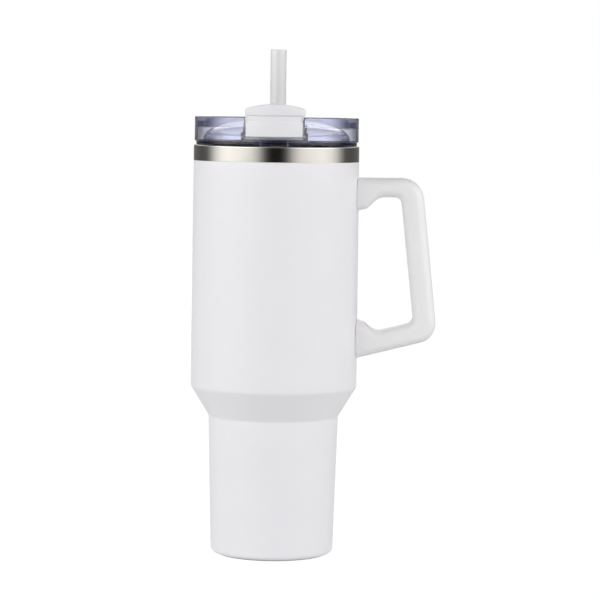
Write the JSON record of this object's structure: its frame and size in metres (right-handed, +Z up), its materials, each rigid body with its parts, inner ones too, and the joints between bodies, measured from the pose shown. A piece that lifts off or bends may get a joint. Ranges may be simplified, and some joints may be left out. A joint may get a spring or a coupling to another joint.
{
  "type": "insulated tumbler",
  "caption": "Tall vacuum-insulated steel tumbler with a narrow foot, side handle, clear press-in lid, sliding sip closure and straw.",
  "frame": {"origin": "centre of the flat foot, on the surface that the cup stands on", "axes": "+Z up along the cup's axis; -Y towards the sip opening; +X towards the handle"},
  "size_m": [0.1482, 0.1008, 0.3065],
  "materials": {
    "steel": "brushed stainless steel",
    "steel_inside": "satin electropolished stainless steel",
    "coat": "fine matt white powder coating",
    "copper": "thin copper foil",
    "solder": "dull solder",
    "getter": "pressed powder pill",
    "pad": "matt silicone",
    "handle_core": "glass-filled nylon",
    "handle": "soft satin white plastic",
    "screw": "zinc-plated steel",
    "clear_lid": "polished clear plastic with a blue tint",
    "silicone": "translucent silicone",
    "slide": "satin white plastic",
    "straw": "translucent plastic"
  },
  "bodies": {
    "cup": {"outer_shell": "steel", "powder_coat": "coat", "inner_liner": "steel_inside", "copper_foil": "copper", "bottom_disc": "steel_inside", "getter": "getter", "getter_clip": "steel_inside", "vacuum_seal": "solder", "base_cover": "steel", "foot_pad": "pad", "handle_core": "handle_core", "handle_cover": "handle", "upper_bracket": "steel_inside", "lower_bracket": "steel_inside", "handle_screws": "screw", "screw_plugs": "handle", "root_pads": "pad"},
    "lid": {"lid_plug": "clear_lid", "lid_ring": "clear_lid", "lid_deck": "clear_lid", "lid_gasket": "silicone", "straw_grommet": "silicone"},
    "slide": {"slide": "slide", "slide_seal": "silicone"},
    "straw": {"straw": "straw"}
  },
  "joints": [
    {"name": "lid_lift", "type": "slide", "parent": "cup", "child": "lid", "axis": [0, 0, 1], "range_m": [0, 0.25]},
    {"name": "sip_slide", "type": "slide", "parent": "lid", "child": "slide", "axis": [0, 1, 0], "range_m": [0, 0.015]},
    {"name": "straw_draw", "type": "slide", "parent": "lid", "child": "straw", "axis": [0, 0, 1], "range_m": [-0.005, 0.25]}
  ]
}
